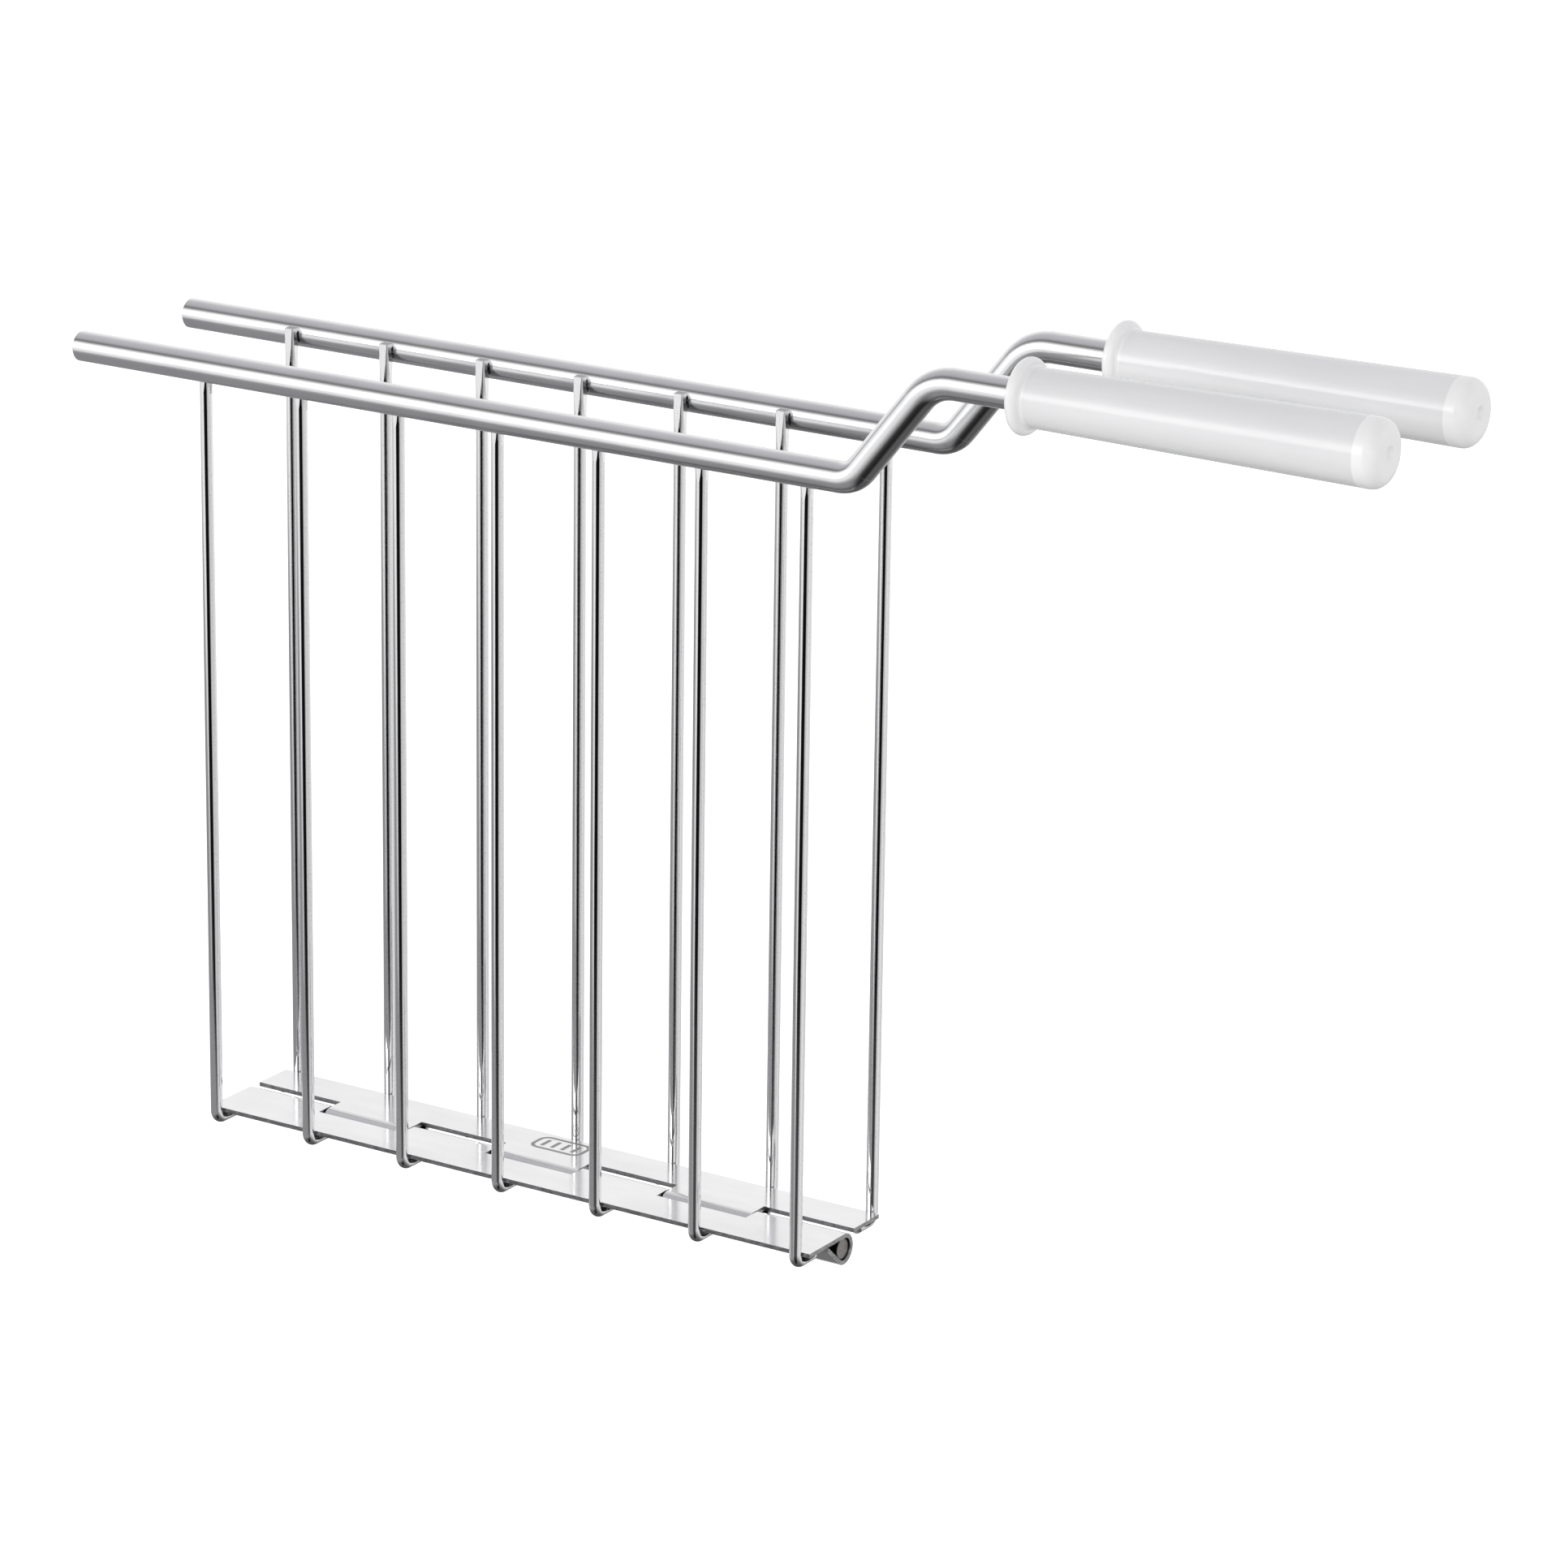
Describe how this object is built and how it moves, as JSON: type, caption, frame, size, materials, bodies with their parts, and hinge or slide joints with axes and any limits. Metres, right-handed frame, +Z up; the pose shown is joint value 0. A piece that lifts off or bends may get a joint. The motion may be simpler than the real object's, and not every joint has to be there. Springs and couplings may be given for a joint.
{
  "type": "hinged toast cage",
  "caption": "Hinged toast cage of bright wire that hangs in a toaster slot, with two jaws pinned together at the bottom and white grips on raised rails.",
  "frame": {"origin": "midway between the two rails and midway along the wires, level with the undersides of the rails, where the cage hangs on the top of a toaster", "axes": "+X along the rails towards the grips, +Y from the front jaw to the back jaw, +Z up"},
  "size_m": [0.2635, 0.0452, 0.1739],
  "materials": {
    "rail_steel": "satin stainless steel rod",
    "wire_steel": "bright polished stainless steel wire",
    "leaf_steel": "mirror polished stainless steel sheet with sheared edges",
    "pin_steel": "plain cut steel pin, dull grey",
    "grip_plastic": "white semi-gloss moulded heat-resistant plastic"
  },
  "bodies": {
    "front_jaw": {"front_rail": "rail_steel", "front_leaf": "leaf_steel", "hinge_pin": "pin_steel", "front_grip": "grip_plastic", "front_wire_1": "wire_steel", "front_wire_2": "wire_steel", "front_wire_3": "wire_steel", "front_wire_4": "wire_steel", "front_wire_5": "wire_steel", "front_wire_6": "wire_steel", "front_wire_7": "wire_steel"},
    "back_jaw": {"back_rail": "rail_steel", "back_leaf": "leaf_steel", "back_grip": "grip_plastic", "back_wire_1": "wire_steel", "back_wire_2": "wire_steel", "back_wire_3": "wire_steel", "back_wire_4": "wire_steel", "back_wire_5": "wire_steel", "back_wire_6": "wire_steel", "back_wire_7": "wire_steel"}
  },
  "joints": [
    {"name": "jaw_hinge", "type": "hinge", "parent": "front_jaw", "child": "back_jaw", "pos_m": [0, 0, -0.14268], "axis": [-1, 0, 0], "range_deg": [-6.2, 170]}
  ]
}
